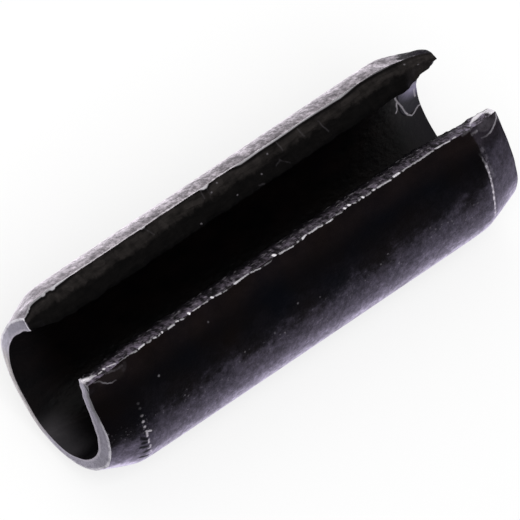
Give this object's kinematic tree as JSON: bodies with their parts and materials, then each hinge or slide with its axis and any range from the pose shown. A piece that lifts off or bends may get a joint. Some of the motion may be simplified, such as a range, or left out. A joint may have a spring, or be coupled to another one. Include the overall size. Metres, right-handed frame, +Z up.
{
  "type": "slotted spring pin",
  "caption": "Slotted spring pin rolled from black spring-steel strip, with tapered ends and an open slot along its length.",
  "frame": {"origin": "on the pin's axis, halfway along its length", "axes": "+X along the pin, +Z up through the middle of the slot, as the pin comes to rest on a table"},
  "size_m": [0.022, 0.0086, 0.0079],
  "materials": {
    "black_steel": "black oxide on spring steel, lightly oiled, worn to bright metal along the edges"
  },
  "bodies": {
    "root": {"spring_pin": "black_steel"}
  },
  "joints": []
}
